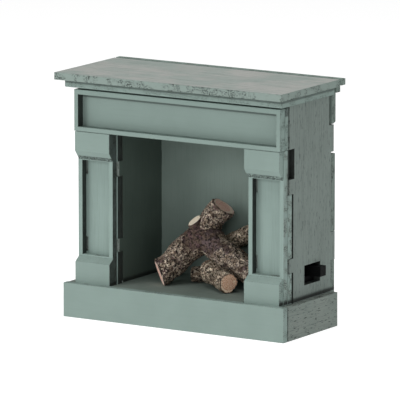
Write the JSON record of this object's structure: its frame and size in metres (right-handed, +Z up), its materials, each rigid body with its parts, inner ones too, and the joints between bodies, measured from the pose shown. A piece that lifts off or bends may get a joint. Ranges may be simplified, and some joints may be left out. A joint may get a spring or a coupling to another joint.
{
  "type": "miniature fireplace mantel",
  "caption": "Miniature painted fireplace mantel with stepped shelf, panelled pilasters, open firebox with a twig log pile, plinth, side switch and rear battery drawer.",
  "frame": {"origin": "on the ground under the middle of the whole piece", "axes": "+X to the right of someone facing the fire, +Y towards the back, +Z up"},
  "size_m": [0.1164, 0.0534, 0.1093],
  "materials": {
    "painted_board": "matt sage green paint on laser-cut board, edges rubbed through",
    "worn_board": "matt sage green paint rubbed thin over upright grain",
    "bark": "rough natural bark with lichen, sawn ends",
    "lamp_lens": "clear amber lens",
    "contact_metal": "tinned metal",
    "switch_plastic": "black moulded plastic",
    "battery_plastic": "black moulded plastic",
    "cell_steel": "polished steel can",
    "lead_red": "red insulation",
    "lead_white": "white insulation",
    "lead_black": "black insulation"
  },
  "bodies": {
    "mantel": {"mantel_shelf": "painted_board", "cornice_board": "painted_board", "frieze_frame": "painted_board", "frieze_panel": "painted_board", "capital_left": "painted_board", "capital_right": "painted_board", "pilaster_frame_left": "painted_board", "pilaster_frame_right": "painted_board", "base_block_left": "painted_board", "base_block_right": "painted_board", "front_board": "painted_board", "side_panel_left": "worn_board", "side_panel_right": "worn_board", "back_board": "worn_board", "firebox_cheek_left": "painted_board", "firebox_cheek_right": "painted_board", "firebox_ceiling": "painted_board", "hearth_board": "painted_board", "base_board": "worn_board", "plinth_front": "painted_board", "plinth_side_left": "worn_board", "plinth_side_right": "worn_board", "log_leaning": "bark", "log_right": "bark", "log_front": "bark", "log_back": "bark", "log_under": "bark", "lamp": "lamp_lens", "lamp_legs": "contact_metal", "switch_housing": "switch_plastic", "switch_terminals": "contact_metal", "battery_holder": "battery_plastic", "contact_positive": "contact_metal", "contact_negative": "contact_metal", "lead_supply": "lead_red", "lead_lamp": "lead_white", "lead_return": "lead_black"},
    "switch_lever": {"switch_slider": "switch_plastic", "switch_wiper": "contact_metal"},
    "battery_tray": {"battery_drawer": "battery_plastic", "coin_cell": "cell_steel"}
  },
  "joints": [
    {"name": "switch_slide", "type": "slide", "parent": "mantel", "child": "switch_lever", "axis": [0, -1, 0], "range_m": [0, 0.005]},
    {"name": "battery_drawer_slide", "type": "slide", "parent": "mantel", "child": "battery_tray", "axis": [0, 1, 0], "range_m": [0, 0.025]}
  ]
}
